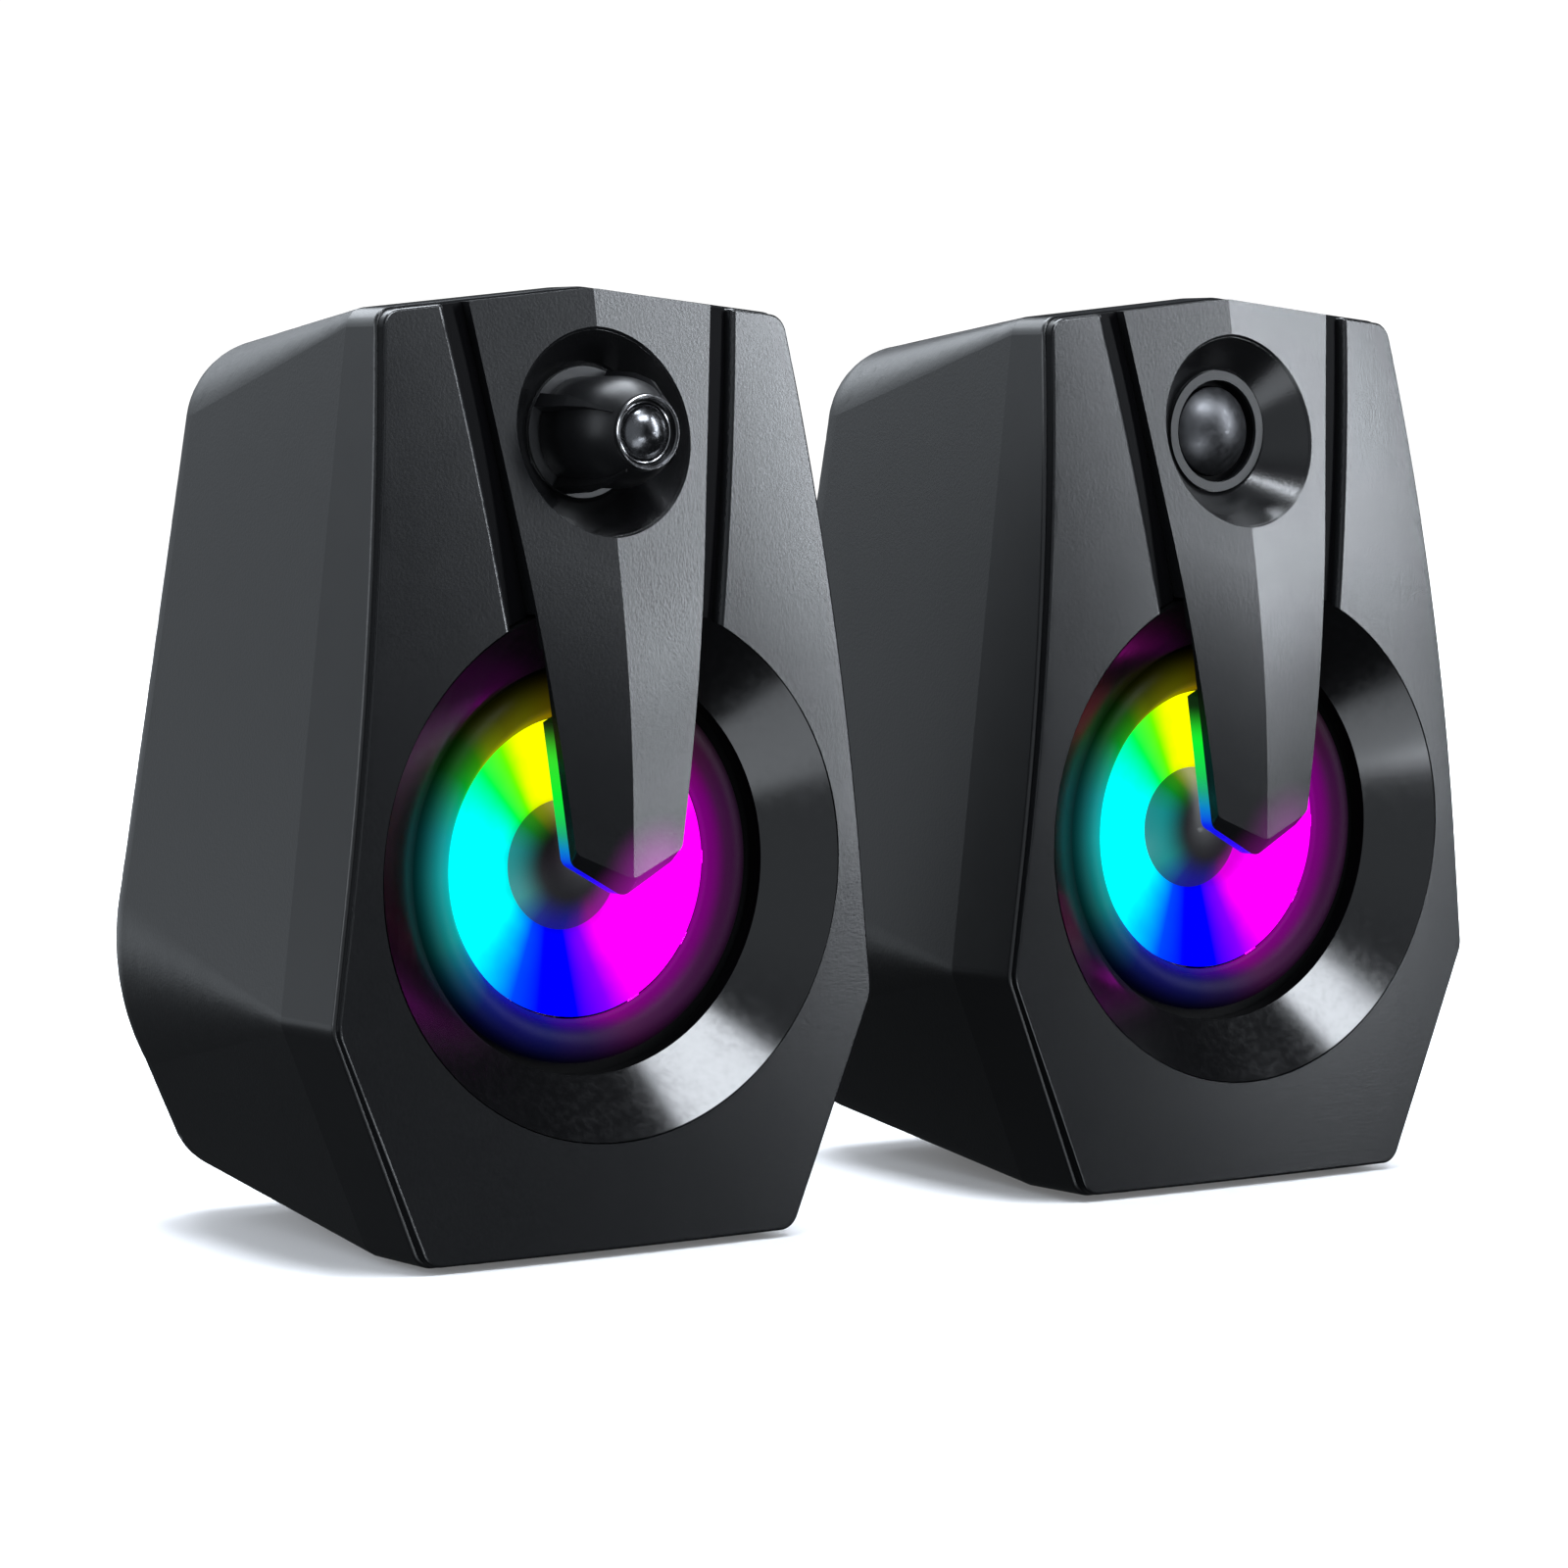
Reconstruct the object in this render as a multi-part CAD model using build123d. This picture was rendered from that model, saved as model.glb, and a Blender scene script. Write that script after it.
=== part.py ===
from build123d import *

import os
from math import cos, radians, sin, sqrt

# A pair of small powered desktop speakers, in millimetres. +X runs from the left cabinet to the right one,
# +Y runs into the cabinets and +Z is up. The row's origin is on the desk, under the middle of the pair.
# Each piece is drawn in its own cabinet's frame: X = 0 on the cabinet's middle plane and Y = 0 at the
# foot of the front edge. place() then moves it to where it stands.

# --- the pair ---
SPACING = 132.6          # from one cabinet's middle plane to the other's
FRONT_TO_ORIGIN = 37.29  # from the foot of the front edge back to the row's origin
CABINETS = {"left": -SPACING / 2, "right": SPACING / 2}

# --- cabinet outline, seen from the front ---
APEX_Z = 155.0           # ridge of the low gable
SHOULDER_Z = 151.0       # top corners
WAIST_Z = 39.2           # the widest line
BASE_Z = 0.8             # underside of the mouldings, carried on pads
SHOULDER_HALF = 38.6
WAIST_HALF = 51.6
BASE_HALF = 35.6
SEAM_Y = 15.0            # where the front frame meets the rear shell
BACK_Y = 88.0            # back wall at the base, before its forward lean
BACK_LEAN = 0.07         # how far the back wall leans forward per millimetre of height
WALL = 2.3
REAR_ROUND = 10.0        # rounding round the back wall

# --- bowed front ---
BOW_START_Z = 58.0       # below this the front edge is straight
BOW_SLOPE = 0.0226       # the straight part leans forward by this much per millimetre
BOW_RADIUS = 425.0
PLATE_RISE = 3.0         # how far the middle of the face plate stands in front of the frame's edge
CROWN_RADIUS = 723.0     # side-to-side crown of the face plate

# --- woofer, on a horizontal axis ---
WOOFER_Z = 62.0
RING_OUTER = 43.5
RING_INNER = 33.5
RING_FRONT_Y = -3.0
RING_BACK_Y = 4.7
SEAT_Y = 6.6             # front of the frame's driver seat
CONE_OUTER = 24.4
CONE_FRONT_Y = 8.7
HUB_RADIUS = 10.6
HUB_Y = 13.2
COIL_BORE = 9.5
CONE_TRAVEL = 1.5

# --- horn recess ---
HORN_Z = 131.7
HORN_OUTER = 17.2
HORN_INNER = 10.6
HORN_FLOOR_Y = 7.1
HORN_MOUTH_Y = -0.2
HORN_TILT = 9.4          # the mouth leans back with the blade, in degrees
HORN_RISE = 0.12         # how far the recess climbs per millimetre toward its mouth
HORN_LIP = 0.4           # skin of the blade over the cup's front edge
SHAFT_RADIUS = 3.0
SHAFT_CLEARANCE = 0.05

# --- blade, the faceted spine down the middle ---
BLADE_RIDGE_Y = -7.6     # ridge over the woofer
BLADE_BEND_Z = 68.0      # the ridge starts to lean back here
BLADE_BEND_RADIUS = 236.0
BLADE_LEAN = 9.4         # lean of the upper ridge, in degrees
BLADE_TOP_HALF = 23.5    # half width at the apex height
BLADE_TIP_HALF = 10.2
BLADE_TIP_CORNER_Z = 65.9
BLADE_TIP_Z = 60.4
BLADE_BACK_Y = -3.4      # back of the overhanging part, over the trim ring
LIGHT_EDGE_Y = (-4.35, -1.6)  # front and back of the clear strip behind the overhang
LIGHT_EDGE_REACH = 27.5  # the strip stays this close to the woofer's axis
TIP_SLANT_Y = (-9.0, -4.6)    # the blade's foot slants at 45 degrees between these depths
TIP_FRONT_Y = -7.0       # depth at which the slanted foot has the outline above
GROOVE_WIDTH = 4.3
GROOVE_FACE = 0.15       # clearance behind the plate and the blade


# ---------------------------------------------------------------- helpers
def front_plane(y):
    """A plane facing the viewer, whose own x and y are the row's X and Z."""
    return Plane((0, y, 0), x_dir=(1, 0, 0), z_dir=(0, -1, 0))


def slab(sketch, y_front, y_back):
    """Extrude a front-view sketch from y_front to y_back."""
    return extrude(front_plane(y_back) * sketch, amount=y_back - y_front)


def ring_solid(*profile, z=0.0, x=0.0):
    """Turn a closed (radius, y) profile about a front-to-back axis at (x, z)."""
    face = make_face(Polyline(*profile, close=True))
    return Pos(x, 0, z) * revolve(face, Axis.Y)


def tube(radius, bore, y_front, y_back, x=0.0, z=0.0):
    return ring_solid((bore, y_front), (radius, y_front), (radius, y_back), (bore, y_back), x=x, z=z)


def rod(radius, y_front, y_back, x=0.0, z=0.0):
    return ring_solid((0, y_front), (radius, y_front), (radius, y_back), (0, y_back), x=x, z=z)


def upright(radius, height):
    """A cylinder standing on Z = 0."""
    return Cylinder(radius, height, align=(Align.CENTER, Align.CENTER, Align.MIN))


def group(solids):
    """Separate solids that share one node, as identical fasteners do."""
    return Part() + solids


def dome_arc(rim_radius, rim_y, rise):
    """Arc from the axis out to the rim, square to the axis, so that it turns into part of a ball."""
    ball = (rim_radius ** 2 + rise ** 2) / (2 * rise)
    half = rim_radius / 2
    middle = (half, rim_y - rise + ball - sqrt(ball ** 2 - half ** 2))
    return ThreePointArc((0, rim_y - rise), middle, (rim_radius, rim_y))


def section(y, shoulder, waist, base, apex_z, shoulder_z, base_z, rounds, inset=0.0):
    """The seven-sided cabinet outline at depth y, as a face with rounded corners."""
    shoulder_round, waist_round, base_round, apex_round = rounds
    points = [
        (-base + inset, base_z + inset),
        (base - inset, base_z + inset),
        (waist - inset, WAIST_Z),
        (shoulder - inset, shoulder_z - inset),
        (0, apex_z - inset),
        (-shoulder + inset, shoulder_z - inset),
        (-waist + inset, WAIST_Z),
    ]
    radii = [base_round, base_round, waist_round, shoulder_round, apex_round, shoulder_round, waist_round]
    return front_plane(y) * make_face(FilletPolyline(*points, radius=radii, close=True))


def front_section(y, inset=0.0):
    rounds = (max(3.6 - inset, 0.6), 5.0, max(4.0 - inset, 0.6), 12.0)
    return section(y, SHOULDER_HALF, WAIST_HALF, BASE_HALF, APEX_Z, SHOULDER_Z, BASE_Z, rounds, inset)


def cabinet_slab(y_front, y_back, inset=0.0):
    return extrude(front_section(y_back, inset), amount=y_back - y_front)


def runs_back(edge):
    """Whether an edge runs mainly front to back."""
    return abs((edge @ 1).Y - (edge @ 0).Y) > 0.6 * edge.length


def behind_bow(shift):
    """Everything behind the straight-edged front bow, moved back by shift."""
    reach = 70.0
    start_z = -12.0
    foot = (shift - BOW_SLOPE * start_z, start_z)
    bend = (shift - BOW_SLOPE * BOW_START_Z, BOW_START_Z)
    lower = Line(foot, bend)
    upper = JernArc(bend, (-BOW_SLOPE, 1), BOW_RADIUS, -16)
    top = upper @ 1
    rim = Polyline((top.X, top.Y), (reach, top.Y), (reach, start_z), foot)
    return extrude(Plane.YZ * make_face([lower, upper, *rim.edges()]), amount=reach, both=True)


def behind_crown(shift):
    """Everything behind the face plate's surface, which is bowed up and down and crowned side to side."""
    start_z = -12.0
    half = 62.0
    sagitta = half * half / (2 * CROWN_RADIUS)
    front_y = shift - PLATE_RISE
    path = Plane.YZ * (
        Line((front_y - BOW_SLOPE * start_z, start_z), (front_y - BOW_SLOPE * BOW_START_Z, BOW_START_Z))
        + JernArc((front_y - BOW_SLOPE * BOW_START_Z, BOW_START_Z), (-BOW_SLOPE, 1), BOW_RADIUS, -16)
    )
    across = Plane((0, front_y - BOW_SLOPE * start_z, start_z), x_dir=(1, 0, 0), z_dir=(0, -BOW_SLOPE, 1))
    crown = ThreePointArc((-half, sagitta), (0, 0), (half, sagitta))
    back = Polyline((half, sagitta), (half, 30), (-half, 30), (-half, sagitta))
    return sweep(across * make_face([crown, *back.edges()]), path=path)


def blade_outline(grow=0.0, foot_drop=0.0):
    """Front view of the blade: wide at the roof, narrow at its pointed lower end."""
    top_z = APEX_Z + 6
    slope = (BLADE_TOP_HALF - BLADE_TIP_HALF) / (APEX_Z - BLADE_TIP_CORNER_Z)
    top_half = BLADE_TOP_HALF + slope * (top_z - APEX_Z) + grow
    tip_half = BLADE_TIP_HALF - slope * foot_drop + grow
    corner_z = BLADE_TIP_CORNER_Z - foot_drop
    tip_z = BLADE_TIP_Z - foot_drop
    points = [(0, tip_z), (tip_half, corner_z), (top_half, top_z), (-top_half, top_z), (-tip_half, corner_z)]
    return make_face(FilletPolyline(*points, radius=[2.2, 2.0, 0, 0, 2.0], close=True))


def behind_facets():
    """Everything behind the blade's two facets, which meet in a ridge on the middle plane."""
    low_z, high_z = 30.0, 175.0
    back_y = 40.0
    bend = (BLADE_RIDGE_Y, BLADE_BEND_Z)
    arc = JernArc(bend, (0, 1), BLADE_BEND_RADIUS, -BLADE_LEAN)
    end = arc @ 1
    run = high_z - end.Y
    top = (end.X + run * sin(radians(BLADE_LEAN)) / cos(radians(BLADE_LEAN)), high_z)
    lines = Polyline((end.X, end.Y), top, (back_y, high_z), (back_y, low_z), (BLADE_RIDGE_Y, low_z), bend)
    profile = Plane.YZ * make_face([arc, *lines.edges()])
    right = extrude(profile, amount=30, dir=(1, 0.112, 0.42))
    return right + mirror(right, Plane.YZ)


def horn_cone(wall=0.0, forward=4.0):
    """The oblique horn recess, thickened by wall and run on forward past its mouth."""
    depth = HORN_FLOOR_Y - HORN_MOUTH_Y
    flare = (HORN_OUTER - HORN_INNER) / depth
    back = front_plane(HORN_FLOOR_Y) * Pos(0, HORN_Z) * Circle(HORN_INNER + wall)
    mouth_z = HORN_Z + HORN_RISE * (depth + forward)
    mouth = Plane((0, HORN_MOUTH_Y - forward, mouth_z), x_dir=(1, 0, 0), z_dir=(0, -1, 0))
    tilted = mouth * Rot(X=-HORN_TILT) * Circle(HORN_OUTER + flare * forward + wall)
    return loft([back, tilted])


def place(shape, side):
    return Pos(CABINETS[side], -FRONT_TO_ORIGIN, 0) * shape


# ---------------------------------------------------------------- cabinet mouldings
TOWERS = [(-26.0, 133.0), (26.0, 133.0), (-27.0, 17.0), (27.0, 17.0)]
TOWER_RADIUS = 4.3
FOOT_Y = 50.0            # one post under the middle of the rear
FOOT_RADIUS = 6.0
FRONT_PAD = (22.0, 8.0)
PAD_RADIUS = 4.0
PAD_RECESS = 1.0
GLAND_Z = 26.0
GLAND_RADIUS = 5.0


def back_face_y(z):
    return BACK_Y - BACK_LEAN * z


def rear_body(inset, back_inset, edge_round):
    """The tapering, soft-edged rear of the cabinet, shrunk by inset on every side."""
    far_y = 96.0
    reach = far_y - SEAM_Y
    near = section(SEAM_Y, SHOULDER_HALF, WAIST_HALF, BASE_HALF, APEX_Z, SHOULDER_Z, BASE_Z,
                   (max(3.6 - inset, 1.0), 6.0, max(4.0 - inset, 1.0), 12.0), inset)
    far = section(far_y, SHOULDER_HALF - 0.08 * reach, WAIST_HALF - 0.052 * reach, BASE_HALF - 0.08 * reach,
                  APEX_Z - 0.10 * reach, SHOULDER_Z - 0.10 * reach, BASE_Z + 0.095 * reach,
                  (20.0 - inset, 56.0, 14.0 - inset, 60.0), inset)
    body = loft([near, far], ruled=True)
    keep = Plane.YZ * make_face(Polyline(
        (SEAM_Y - 5, -20), (back_face_y(-20) - back_inset, -20), (back_face_y(180) - back_inset, 180),
        (SEAM_Y - 5, 180), close=True))
    body = body & extrude(keep, amount=80, both=True)
    rim = body.faces().sort_by(Axis.Y)[-1].edges()
    return fillet(rim, edge_round)


def rear_shell():
    cavity = rear_body(WALL, WALL, REAR_ROUND - WALL)
    shell = rear_body(0.0, 0.0, REAR_ROUND) - cavity
    inside = rear_body(0.6, 0.6, REAR_ROUND - 0.6)
    for x, z in TOWERS:
        tower = rod(TOWER_RADIUS, SEAM_Y, back_face_y(z), x=x, z=z)
        shell = shell + (tower & inside)
    foot = Pos(0, FOOT_Y, BASE_Z) * upright(FOOT_RADIUS, 12)
    recess = Pos(0, FOOT_Y, 0) * upright(PAD_RADIUS + 0.1, BASE_Z + PAD_RECESS)
    shell = shell + (foot - cavity) - recess
    for x, z in TOWERS:
        shell = shell - rod(3.3, 26.0, BACK_Y + 10, x=x, z=z) - rod(1.75, SEAM_Y - 1, 27.0, x=x, z=z)
    return shell - rod(GLAND_RADIUS, 60.0, BACK_Y + 10, z=GLAND_Z)


def front_frame():
    frame = cabinet_slab(-12, SEAM_Y) & behind_bow(0.0)
    rim = [e for e in frame.edges() if e.center().Y < SEAM_Y - 5 and e.length > 3]
    frame = fillet(rim, 0.7)
    pocket = cabinet_slab(-12, SEAM_Y + 5, inset=WALL) & behind_bow(2.4)
    frame = frame - pocket
    for x, z in TOWERS:
        boss = rod(TOWER_RADIUS, 0.0, SEAM_Y - 0.1, x=x, z=z) & behind_bow(1.0)
        frame = frame + boss - rod(1.3, 7.0, SEAM_Y + 1, x=x, z=z)
    seat = tube(46.4, RING_OUTER + 0.4, 0.6, 9.0, z=WOOFER_Z) + tube(46.4, 34.6, SEAT_Y, 9.0, z=WOOFER_Z)
    frame = frame - rod(RING_OUTER + 0.4, -12, SEAT_Y, z=WOOFER_Z) + seat
    frame = frame - horn_cone(wall=1.5) - rod(HORN_INNER + 1.5, HORN_FLOOR_Y - 0.5, SEAM_Y + 1, z=HORN_Z)
    for angle in (45, 135, 225, 315):
        x = 36.7 * cos(radians(angle))
        z = WOOFER_Z + 36.7 * sin(radians(angle))
        frame = frame - rod(1.25, 7.6, 10, x=x, z=z)
    for x in (-FRONT_PAD[0], FRONT_PAD[0]):
        frame = frame - Pos(x, FRONT_PAD[1], 0) * upright(PAD_RADIUS + 0.1, BASE_Z + PAD_RECESS)
    return frame


def groove_slot(extra=0.0):
    """The channel down the face that the blade stands in, with a groove on each side of it."""
    return blade_outline(grow=GROOVE_WIDTH + extra)


def face_plate():
    plate = cabinet_slab(-12, 12, inset=0.4) & behind_crown(0.0)
    plate = plate - slab(groove_slot(), -20, 20)
    slot = [e for e in plate.edges() if e.length > 60 and e.center().Z > 90 and abs(e.center().X) < 30
            and e.center().Y < 2 and not runs_back(e)]
    plate = fillet(slot, 1.1)
    rim = [e for e in plate.edges() if e.center().Y < 11 and e.length > 3 and not runs_back(e)
           and (abs(e.center().X) > 30 or e.center().Z < 4)]
    plate = fillet(rim, 0.5)
    plate = plate - behind_bow(-GROOVE_FACE)
    return plate - rod(RING_OUTER + 0.2, -20, 20, z=WOOFER_Z)


def blade_column():
    """The blade's outline run from front to back, with its pointed foot slanting down toward the back."""
    slant_front, slant_back = TIP_SLANT_Y
    drop = slant_back - TIP_FRONT_Y
    sections = [(slant_front, slant_front - TIP_FRONT_Y), (slant_back, drop)]
    slant = loft([front_plane(y) * blade_outline(foot_drop=fall) for y, fall in sections], ruled=True)
    return slant + slab(blade_outline(foot_drop=drop), slant_back, 12)


def blade():
    body = cabinet_slab(-20, 12, inset=0.4) & behind_facets() & blade_column()
    body = body - behind_bow(-GROOVE_FACE)
    body = body - rod(RING_OUTER + 0.6, BLADE_BACK_Y, 20, z=WOOFER_Z)
    body = body - rod(RING_OUTER - 4.8, LIGHT_EDGE_Y[0] - 0.05, 20, z=WOOFER_Z)
    cup_seat = horn_cone(wall=1.1, forward=8.0) & Pos(0, HORN_LIP, 0) * behind_facets()
    return body - horn_cone(forward=8.0) - cup_seat


def blade_light_edge():
    """Clear strip behind the blade's overhang, which catches the light of the cone."""
    front_y, back_y = LIGHT_EDGE_Y
    strip = slab(blade_outline(foot_drop=TIP_SLANT_Y[1] - TIP_FRONT_Y), front_y, back_y)
    return strip & rod(LIGHT_EDGE_REACH, -20, 20, z=WOOFER_Z)


def groove_trims():
    """Glossy strips on the floors of the two grooves."""
    strip = cabinet_slab(-12, 12, inset=0.5) & slab(groove_slot(-0.15), -12, 12)
    strip = strip - slab(blade_outline(grow=0.2), -20, 20)
    strip = (strip & behind_bow(-1.0)) - behind_bow(-GROOVE_FACE)
    return strip - rod(RING_OUTER + 0.2, -20, 20, z=WOOFER_Z)


def horn_cup(centre_bore):
    cup = horn_cone(wall=1.0, forward=8.0) - horn_cone(forward=8.0)
    cup = cup & Pos(0, HORN_LIP + 0.05, 0) * behind_facets() & cabinet_slab(-20, 12, inset=0.4)
    floor = tube(HORN_INNER + 1.0, centre_bore, HORN_FLOOR_Y, HORN_FLOOR_Y + 1.2, z=HORN_Z)
    return cup + floor


# ---------------------------------------------------------------- woofer
def woofer_trim_ring():
    """Glossy conical ring round the woofer, with a wall behind each edge."""
    back_y = SEAT_Y - 0.2
    collar_y = 7.9
    return ring_solid(
        (RING_OUTER, RING_FRONT_Y), (RING_INNER, RING_BACK_Y), (RING_INNER, collar_y),
        (RING_INNER + 0.9, collar_y), (RING_INNER + 0.9, RING_BACK_Y + 0.9),
        (RING_OUTER - 1.4, RING_FRONT_Y + 3.1), (RING_OUTER - 1.4, back_y), (RING_OUTER, back_y), z=WOOFER_Z)


def woofer_surround():
    """Half-roll rubber surround with a flat flange outside and a short lip inside."""
    middle, outer, inner, base = 28.6, 3.2, 2.4, 8.2
    lip = base + 0.8
    roll_out = ThreePointArc((middle + outer, base), (middle, base - outer), (middle - outer, base))
    roll_in = ThreePointArc((middle - inner, lip), (middle, lip - inner - 0.8), (middle + inner, lip))
    inside = Polyline((middle - outer, base), (24.75, base), (24.75, lip), (middle - inner, lip))
    outside = Polyline((middle + inner, lip), (34.3, lip), (34.3, base), (middle + outer, base))
    face = make_face([roll_out, roll_in, *inside.edges(), *outside.edges()])
    return Pos(0, 0, WOOFER_Z) * revolve(face, Axis.Y)


def woofer_cone():
    thick = 0.7
    return ring_solid(
        (CONE_OUTER, CONE_FRONT_Y), (CONE_OUTER, CONE_FRONT_Y + thick), (9.9, HUB_Y + 0.2 + thick),
        (9.9, HUB_Y + 0.2), z=WOOFER_Z)


def woofer_hub():
    """Domed dust cap glued over the voice coil."""
    rise, thick = 2.6, 0.6
    front_y = HUB_Y - 0.3
    back_y = HUB_Y - 0.1
    outside = dome_arc(HUB_RADIUS, front_y, rise)
    inside = dome_arc(HUB_RADIUS - 0.9, back_y, rise + back_y - front_y - thick)
    bridges = [Line(outside @ 1, inside @ 1), Line(inside @ 0, outside @ 0)]
    return Pos(0, 0, WOOFER_Z) * revolve(make_face([outside, inside, *bridges]), Axis.Y)


def woofer_voice_coil():
    former = 0.3
    return ring_solid(
        (COIL_BORE, 13.6), (COIL_BORE + former, 13.6), (COIL_BORE + former, 22.0), (10.3, 22.0),
        (10.3, 28.0), (COIL_BORE, 28.0), z=WOOFER_Z)


def woofer_spider():
    """Corrugated cloth disc: a zigzag in section, held at its rim."""
    thick, pitch, swing = 0.5, 2.0, 0.7
    inner, outer, base = 10.2, 22.2, 17.6
    count = round((outer - inner) / pitch)
    front = [(inner + i * pitch, base + (swing if i % 2 else -swing)) for i in range(count + 1)]
    back = [(r, y + thick) for r, y in reversed(front)]
    return ring_solid(*front, *back, z=WOOFER_Z)


def woofer_basket():
    """Pressed steel basket: rim, sloping wall with windows, spider shelf and back plate."""
    profile = [
        (31.2, 9.1), (39.0, 9.1), (39.0, 10.3), (31.6, 10.3), (24.4, 19.0), (24.4, 25.9), (14.0, 25.9),
        (14.0, 24.7), (23.2, 24.7), (23.2, 20.2), (20.4, 20.2), (20.4, 19.0), (23.2, 19.0), (30.6, 10.1),
    ]
    basket = ring_solid(*profile, z=WOOFER_Z)
    for i in range(6):
        window = Rot(0, i * 60 + 30, 0) * Pos(28, 15.0, 0) * Box(14, 5.2, 15)
        basket = basket - Pos(0, 0, WOOFER_Z) * window
    for angle in (45, 135, 225, 315):
        x = 36.7 * cos(radians(angle))
        z = WOOFER_Z + 36.7 * sin(radians(angle))
        basket = basket - rod(1.6, 8, 12, x=x, z=z)
    return basket


def woofer_top_plate():
    return tube(20.0, 10.8, 26.0, 29.0, z=WOOFER_Z)


def woofer_magnet():
    return tube(24.0, 12.5, 29.05, 37.0, z=WOOFER_Z)


def woofer_yoke():
    pole, plate = 9.0, 20.0
    return ring_solid(
        (0, 26.0), (pole, 26.0), (pole, 37.05), (plate, 37.05), (plate, 40.0), (0, 40.0), z=WOOFER_Z)


def light_board():
    """Ring circuit board behind the cone's edge."""
    return tube(28.0, 25.4, 12.2, 13.0, z=WOOFER_Z)


def light_leds():
    leds = []
    for i in range(12):
        chip = Rot(0, i * 30, 0) * Pos(26.7, 11.8, 0) * Box(2.0, 0.8, 2.0)
        leds.append(Pos(0, 0, WOOFER_Z) * chip)
    return group(leds)


def woofer_screws():
    screws = []
    for angle in (45, 135, 225, 315):
        x = 36.7 * cos(radians(angle))
        z = WOOFER_Z + 36.7 * sin(radians(angle))
        profile = [(0, 7.8), (1.2, 7.8), (1.2, 10.35), (2.5, 10.35), (2.1, 11.9), (0, 11.9)]
        screws.append(ring_solid(*profile, x=x, z=z))
    return group(screws)


def cabinet_screws():
    screws = []
    profile = [(0, 7.5), (1.25, 7.5), (1.25, 27.05), (2.8, 27.05), (2.4, 29.2), (0, 29.2)]
    for x, z in TOWERS:
        screw = ring_solid(*profile, x=x, z=z)
        slot = Pos(x, 29.0, z) * (Box(3.2, 1.6, 0.7) + Box(0.7, 1.6, 3.2))
        screws.append(screw - slot)
    return group(screws)


def foot_pads():
    spots = [(-FRONT_PAD[0], FRONT_PAD[1]), FRONT_PAD, (0, FOOT_Y)]
    return group([Pos(x, y, 0) * upright(PAD_RADIUS, BASE_Z + PAD_RECESS) for x, y in spots])


def cable_gland():
    """Rubber grommet in the back wall, with the bore that a cord would leave by."""
    back_y = back_face_y(GLAND_Z)
    bore, neck, flange = 2.2, GLAND_RADIUS - 0.05, GLAND_RADIUS + 1.4
    wall_y = back_y - WALL - 0.5
    return ring_solid(
        (bore, back_y - 5.0), (flange, back_y - 5.0), (flange, wall_y), (neck, wall_y), (neck, back_y + 0.6),
        (flange - 0.2, back_y + 0.6), (flange - 0.8, back_y + 1.8), (bore, back_y + 1.8), z=GLAND_Z)


# ---------------------------------------------------------------- volume control, left cabinet
KNOB_RADIUS = 8.9
KNOB_BACK_Y = 5.9
FIN_ANGLES = (61, 151, 241, 331)


def knob_body():
    """Bullet-shaped knob with four tapering fins and a bore for the shaft."""
    nose_y = -11.2
    side = Line((KNOB_RADIUS, KNOB_BACK_Y), (KNOB_RADIUS, -3.0))
    shoulder = ThreePointArc((KNOB_RADIUS, -3.0), (8.1, -7.6), (6.1, nose_y))
    rest = Polyline((6.1, nose_y), (5.3, nose_y), (5.3, -9.8), (0, -9.8), (0, -6.0), (SHAFT_RADIUS, -6.0),
                    (SHAFT_RADIUS, KNOB_BACK_Y), (KNOB_RADIUS, KNOB_BACK_Y))
    body = revolve(make_face([side, shoulder, *rest.edges()]), Axis.Y)
    stations = [
        (KNOB_BACK_Y, 2.4, 10.6, 7.5), (-2.0, 1.9, 10.3, 7.5), (-6.5, 1.1, 9.3, 6.5), (-10.6, 0.3, 7.0, 5.4),
    ]
    faces = []
    for y, width, top, root in stations:
        faces.append(front_plane(y) * Pos((top + root) / 2, 0) * Rectangle(top - root, width))
    fin = loft(faces, ruled=True)
    for angle in FIN_ANGLES:
        body = body + Rot(0, -angle, 0) * fin
    return Pos(0, 0, HORN_Z) * body


def knob_nose_ring():
    """Thin rim round the nose, a cone down inside it and a bead round the cap."""
    return ring_solid(
        (5.25, -11.25), (5.95, -11.25), (5.95, -11.85), (5.85, -12.05), (5.65, -12.05), (5.55, -11.85),
        (4.98, -10.75), (4.92, -10.95), (4.78, -11.02), (4.64, -10.95), (4.6, -10.8), (4.6, -9.85),
        (5.25, -9.85), z=HORN_Z)


def knob_cap():
    """Small glossy dome in the middle of the knob's nose."""
    radius, rim_y, rise = 4.5, -10.7, 2.7
    dome = dome_arc(radius, rim_y, rise)
    rest = Polyline((radius, rim_y), (radius, -9.85), (0, -9.85), (0, rim_y - rise))
    return Pos(0, 0, HORN_Z) * revolve(make_face([dome, *rest.edges()]), Axis.Y)


def knob_back_disc():
    return tube(HORN_INNER - 0.1, 3.8, 6.35, 7.05, z=HORN_Z)


def volume_shaft():
    return rod(SHAFT_RADIUS, -5.9, 15.5, z=HORN_Z)


def volume_control():
    """Rotary control: threaded bush and square can."""
    bush = tube(3.6, SHAFT_RADIUS + SHAFT_CLEARANCE, 8.4, 14.0, z=HORN_Z)
    can = Pos(0, 17.5, HORN_Z) * Box(16, 7, 16)
    return bush + can - rod(SHAFT_RADIUS + SHAFT_CLEARANCE, 13.0, 15.8, z=HORN_Z)


def amplifier_board():
    board = Pos(0, 22.0, 122.0) * Box(40, 1.6, 40)
    return board


def amplifier_heatsink():
    base = Pos(-8, 24.6, 124.0) * Box(18, 3.4, 22)
    for i in range(5):
        base = base + Pos(-15.2 + i * 3.6, 29.0, 124.0) * Box(1.2, 6.0, 22)
    return base


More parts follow.
